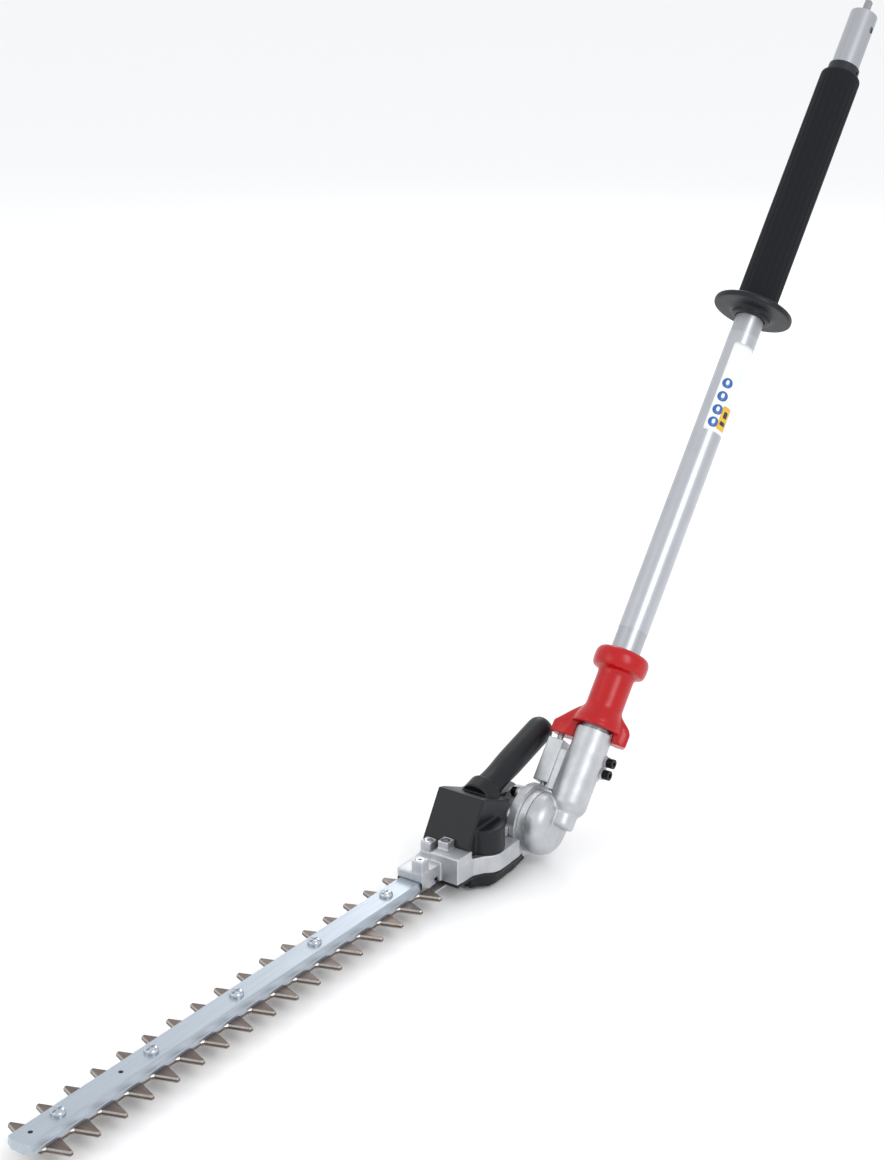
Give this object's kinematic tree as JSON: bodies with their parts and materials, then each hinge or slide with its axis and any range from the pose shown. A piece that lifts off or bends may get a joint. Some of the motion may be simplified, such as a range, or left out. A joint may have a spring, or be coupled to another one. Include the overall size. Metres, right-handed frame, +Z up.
{
  "type": "hedge trimmer attachment",
  "caption": "Articulated pole hedge-trimmer attachment: double-sided reciprocating blades on a tilting gear head, locked by a sliding sleeve on a straight tube with a foam grip.",
  "frame": {"origin": "centre of the tube's coupling end face, on the pole axis", "axes": "+X from the blade tip towards the coupling end along the blades, +Z up, normal to the blades; the pole lies in the plane y = 0 and the blades lie at y = +66 mm"},
  "size_m": [1.1851, 0.1383, 0.7303],
  "materials": {
    "tube": "satin anodised",
    "casting": "satin, shot-blasted casting",
    "red": "glossy moulded",
    "black_plastic": "satin moulded",
    "foam": "matt foam",
    "black_steel": "black oxide",
    "steel": "machined",
    "zinc": "zinc plated",
    "blade": "ground, slightly browned",
    "bar": "smooth",
    "bronze": "sintered bronze",
    "film": "clear-grey film",
    "grey_plastic": "satin moulded"
  },
  "bodies": {
    "pole": {"main_tube": "tube", "tube_film": "film", "grip_flange": "black_plastic", "rear_grip": "foam", "stop_band": "black_plastic", "band_screws": "black_steel", "shaft_bushes": "grey_plastic", "pole_case": "casting", "pinion_bearings": "steel", "clamp_screws": "black_steel", "case_screws": "black_steel", "case_cover": "casting", "lock_guide": "casting", "guide_cap": "grey_plastic", "lock_spring": "steel"},
    "drive_line": {"drive_shaft": "steel", "pole_pinion": "steel"},
    "idler": {"idler_gear": "steel", "pivot_shaft": "steel", "transfer_gear": "steel"},
    "sleeve": {"release_sleeve": "red", "lock_pin": "steel"},
    "head": {"notch_disc": "casting", "trunnion_ring": "steel", "trunnion_bearing": "steel", "flange_screws": "black_steel", "upper_case": "casting", "drum_bearing": "steel", "lower_case": "casting", "top_cover": "black_plastic", "cover_screws": "black_steel", "tilt_handle": "foam", "handle_core": "steel", "crank_bearing": "steel", "shaft_bearings": "steel", "base_plate": "casting", "crank_bush": "bronze", "bottom_cover": "black_plastic", "bottom_screws": "black_steel", "nose_screws": "zinc", "guide_bar": "bar", "bar_bolts": "zinc", "bar_spacers": "steel", "bar_nuts": "zinc"},
    "crank": {"crank_gear": "steel", "eccentrics": "steel"},
    "pinion": {"head_pinion": "steel", "head_bevel": "steel"},
    "upper_knife": {"upper_blade": "blade", "upper_teeth": "blade", "upper_pin": "steel"},
    "lower_knife": {"lower_blade": "blade", "lower_teeth": "blade", "lower_pin": "steel"},
    "upper_link": {"upper_rod": "steel"},
    "lower_link": {"lower_rod": "steel"}
  },
  "joints": [
    {"name": "head_pivot", "type": "hinge", "parent": "pole", "child": "head", "pos_m": [-0.5494, 0.032, -0.67845], "axis": [0, 1, 0], "range_deg": [-119, 0]},
    {"name": "sleeve_slide", "type": "slide", "parent": "pole", "child": "sleeve", "axis": [0.6293, 0, 0.7771], "range_m": [0, 0.01], "stiffness_N_per_m": 2000, "springref_m": -0.006, "deforming": ["lock_spring"]},
    {"name": "drive_spin", "type": "hinge", "parent": "pole", "child": "drive_line", "pos_m": [-0.3606, 0, -0.44531], "axis": [0.6293, 0, 0.7771], "continuous": true},
    {"name": "idler_spin", "type": "hinge", "parent": "pole", "child": "idler", "pos_m": [-0.5494, 0.03, -0.67845], "axis": [0, 1, 0], "continuous": true},
    {"name": "head_pinion_spin", "type": "hinge", "parent": "head", "child": "pinion", "pos_m": [-0.5494, 0.066, -0.67845], "axis": [0, 0, 1], "continuous": true},
    {"name": "crank_spin", "type": "hinge", "parent": "head", "child": "crank", "pos_m": [-0.5851, 0.066, -0.69845], "axis": [0, 0, 1], "continuous": true},
    {"name": "upper_blade_slide", "type": "slide", "parent": "head", "child": "upper_knife", "axis": [1, 0, 0], "range_m": [-0.0072, 0.0072]},
    {"name": "lower_blade_slide", "type": "slide", "parent": "head", "child": "lower_knife", "axis": [1, 0, 0], "range_m": [-0.0072, 0.0072]},
    {"name": "upper_rod_rock", "type": "hinge", "parent": "upper_knife", "child": "upper_link", "pos_m": [-0.6501, 0.066, -0.69845], "axis": [0, 0, 1], "range_deg": [-12.6, 0]},
    {"name": "lower_rod_rock", "type": "hinge", "parent": "lower_knife", "child": "lower_link", "pos_m": [-0.6501, 0.066, -0.69845], "axis": [0, 0, 1], "range_deg": [0, 12.6]}
  ],
  "couplings": [
    {"joint": "idler_spin", "follows": "drive_spin", "ratio": -1},
    {"joint": "head_pinion_spin", "follows": "drive_spin", "ratio": -1},
    {"joint": "crank_spin", "follows": "drive_spin", "ratio": 0.275},
    {"joint": "lower_blade_slide", "follows": "upper_blade_slide", "ratio": -1},
    {"joint": "lower_rod_rock", "follows": "upper_rod_rock", "ratio": -1}
  ]
}
